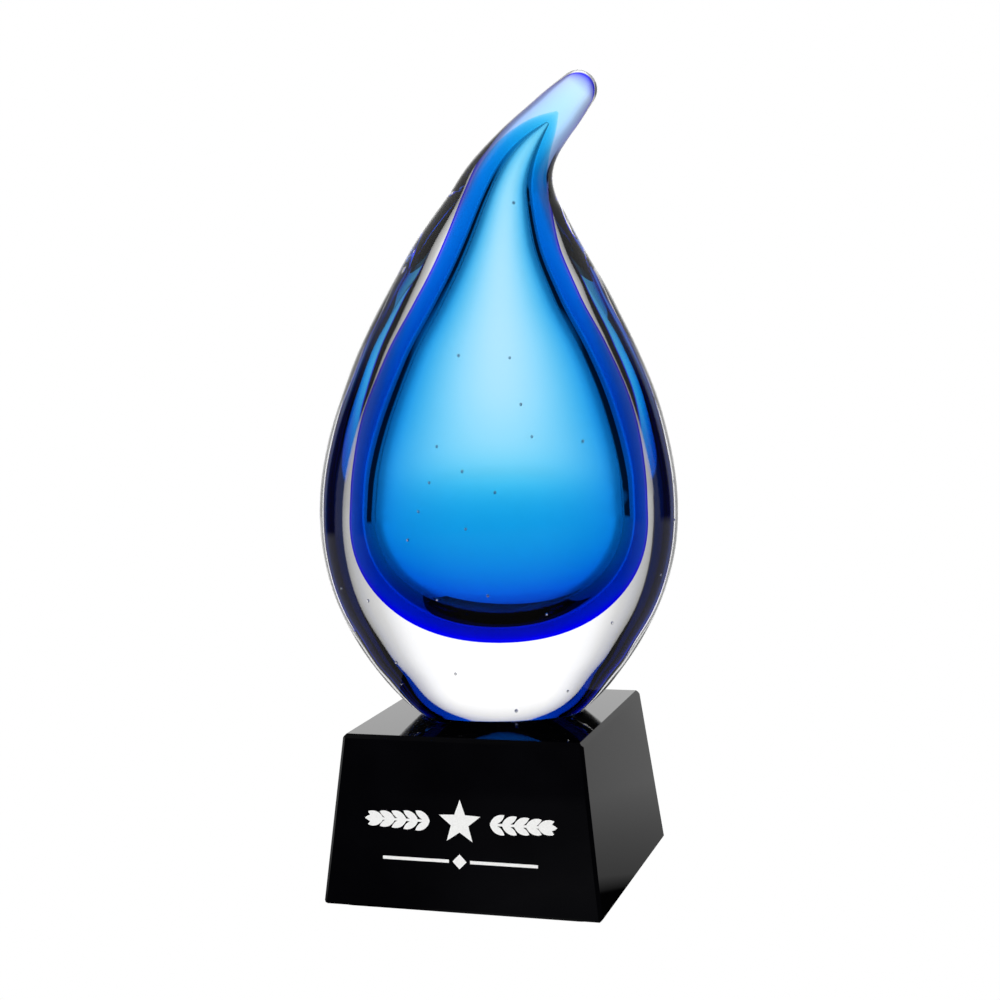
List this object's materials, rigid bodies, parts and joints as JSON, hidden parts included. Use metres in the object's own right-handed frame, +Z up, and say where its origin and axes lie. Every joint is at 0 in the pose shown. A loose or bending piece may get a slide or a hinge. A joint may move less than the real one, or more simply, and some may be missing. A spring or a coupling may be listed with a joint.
{
  "type": "crystal award",
  "caption": "Free-standing award: a blown glass flame with a blue heart, bonded upright on a black crystal block with sloping sides.",
  "frame": {"origin": "middle of the felt sheet's underside, where the award stands on a table", "axes": "+Z up towards the flame's tip, -Y out of the marked front face of the base, +X towards the side that the tip leans to"},
  "size_m": [0.104, 0.0828, 0.2386],
  "materials": {
    "black_crystal": "polished black crystal, mirror smooth, with small polished bevels",
    "white_infill": "matt white paint filling a shallow engraving",
    "black_felt": "short dense felt",
    "clear_adhesive": "clear cured adhesive film",
    "clear_glass": "clear fire-polished glass with a few seed bubbles",
    "cobalt_glass": "deep cobalt glass, cased",
    "gather_glass": "clear glass between the colours, cased",
    "azure_glass": "azure blue glass round the inner bubble, cased"
  },
  "bodies": {
    "root": {"base_block": "black_crystal", "star_infill": "white_infill", "laurel_left_infill": "white_infill", "laurel_right_infill": "white_infill", "rule_infill": "white_infill", "felt_sheet": "black_felt", "bond_film": "clear_adhesive", "clear_casing": "clear_glass", "cobalt_layer": "cobalt_glass", "clear_gather": "gather_glass", "azure_layer": "azure_glass"}
  },
  "joints": []
}
